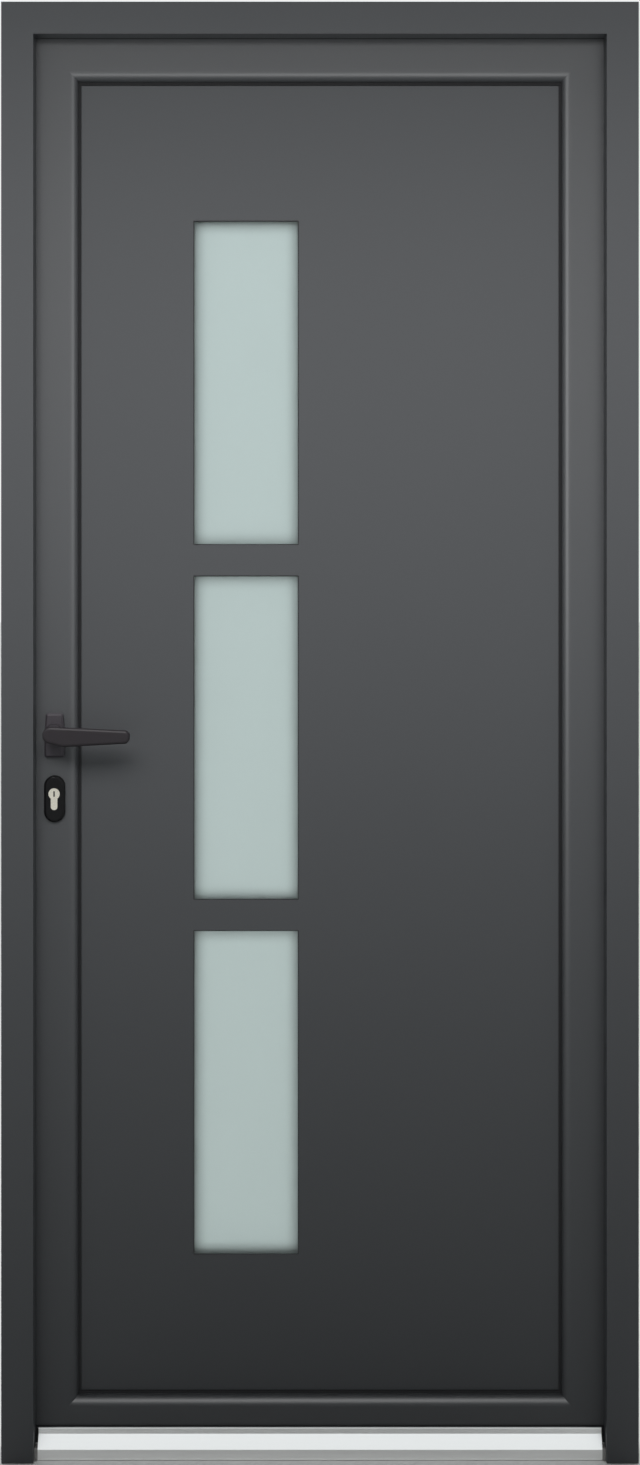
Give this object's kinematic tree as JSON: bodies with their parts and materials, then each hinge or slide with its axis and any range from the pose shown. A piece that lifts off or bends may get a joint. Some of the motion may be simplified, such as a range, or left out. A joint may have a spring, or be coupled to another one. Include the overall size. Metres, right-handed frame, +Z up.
{
  "type": "front door",
  "caption": "Anthracite aluminium front door in its frame, inward opening, with a column of frosted lights, lever handles, multipoint lock and silver threshold.",
  "frame": {"origin": "foot of the frame, in the middle of its width and depth", "axes": "+X to the right seen from outdoors, +Y indoors, +Z up"},
  "size_m": [0.96, 0.161, 2.2],
  "materials": {
    "anthracite": "satin powder coat",
    "silver": "natural anodised",
    "grey_plastic": "matt",
    "seal": "matt",
    "brush": "fibre",
    "foam": "foam",
    "clear_glass": "polished",
    "frosted_glass": "sandblasted",
    "spacer": "mill",
    "steel": "brushed",
    "black_handle": "satin black",
    "black_gloss": "gloss",
    "nickel": "nickel plated"
  },
  "bodies": {
    "frame": {"frame_head": "anthracite", "lock_jamb": "anthracite", "hinge_jamb": "anthracite", "threshold": "silver", "threshold_end_caps": "grey_plastic", "frame_corner_cleats": "silver", "frame_gasket": "seal", "upper_strike": "steel", "centre_strike": "steel", "lower_strike": "steel", "keep_boxes": "grey_plastic", "frame_screws": "steel", "hinge_frame_plates": "anthracite", "hinge_pins": "steel"},
    "leaf": {"bottom_bead": "anthracite", "bottom_rail": "anthracite", "bottom_seal": "brush", "cylinder_body": "nickel", "glass_spacers": "spacer", "hinge_leaf_plates": "anthracite", "hinge_stile": "anthracite", "hook_cases": "steel", "inner_escutcheon": "black_gloss", "inner_panel_gasket": "seal", "inner_rose": "black_handle", "leaf_corner_cleats": "silver", "leaf_gasket": "seal", "leaf_screws": "steel", "left_bead": "anthracite", "lock_case": "steel", "lock_faceplate": "steel", "lock_stile": "anthracite", "lower_frosted_pane": "frosted_glass", "lower_inner_pane": "clear_glass", "middle_frosted_pane": "frosted_glass", "middle_inner_pane": "clear_glass", "outer_escutcheon": "black_gloss", "outer_panel_gasket": "seal", "outer_rose": "black_handle", "panel_core": "foam", "panel_inner_skin": "anthracite", "panel_outer_skin": "anthracite", "right_bead": "anthracite", "setting_blocks": "grey_plastic", "top_bead": "anthracite", "top_rail": "anthracite", "upper_frosted_pane": "frosted_glass", "upper_inner_pane": "clear_glass"},
    "handle": {"outer_lever": "black_handle", "inner_lever": "black_handle", "spindle": "steel", "follower": "steel"},
    "latch": {"latch_bolt": "steel"},
    "snib": {"latch_snib": "steel"},
    "bolt": {"deadbolt": "steel"},
    "plug": {"key_plug": "nickel"},
    "top_hook": {"upper_hook": "steel"},
    "low_hook": {"lower_hook": "steel"},
    "rail": {"drive_rail": "steel"}
  },
  "joints": [
    {"name": "leaf_swing", "type": "hinge", "parent": "frame", "child": "leaf", "pos_m": [0.463, 0.05, 1.088], "axis": [0, 0, -1], "range_deg": [0, 95]},
    {"name": "lever_turn", "type": "hinge", "parent": "leaf", "child": "handle", "pos_m": [-0.403, 0.022, 1.097], "axis": [0, 1, 0], "range_deg": [0, 45], "stiffness_Nm_per_rad": 2, "springref_deg": -28.65},
    {"name": "latch_slide", "type": "slide", "parent": "leaf", "child": "latch", "axis": [-1, 0, 0], "range_m": [0, 0.012]},
    {"name": "snib_slide", "type": "slide", "parent": "leaf", "child": "snib", "axis": [0, 0, -1], "range_m": [0, 0.006]},
    {"name": "key_turn", "type": "hinge", "parent": "leaf", "child": "plug", "pos_m": [-0.403, 0.022, 1.005], "axis": [0, 1, 0], "range_deg": [0, 360]},
    {"name": "deadbolt_slide", "type": "slide", "parent": "leaf", "child": "bolt", "axis": [-1, 0, 0], "range_m": [0, 0.02]},
    {"name": "rail_slide", "type": "slide", "parent": "leaf", "child": "rail", "axis": [0, 0, -1], "range_m": [0, 0.02]},
    {"name": "upper_hook_swing", "type": "hinge", "parent": "leaf", "child": "top_hook", "pos_m": [-0.415, 0.022, 1.83], "axis": [0, -1, 0], "range_deg": [0, 90]},
    {"name": "lower_hook_swing", "type": "hinge", "parent": "leaf", "child": "low_hook", "pos_m": [-0.415, 0.022, 0.33], "axis": [0, -1, 0], "range_deg": [0, 90]}
  ],
  "couplings": [
    {"joint": "key_turn", "follows": "rail_slide", "rad_per_m": 314.16},
    {"joint": "deadbolt_slide", "follows": "rail_slide", "ratio": 1},
    {"joint": "upper_hook_swing", "follows": "rail_slide", "rad_per_m": 78.54},
    {"joint": "lower_hook_swing", "follows": "rail_slide", "rad_per_m": 78.54}
  ]
}
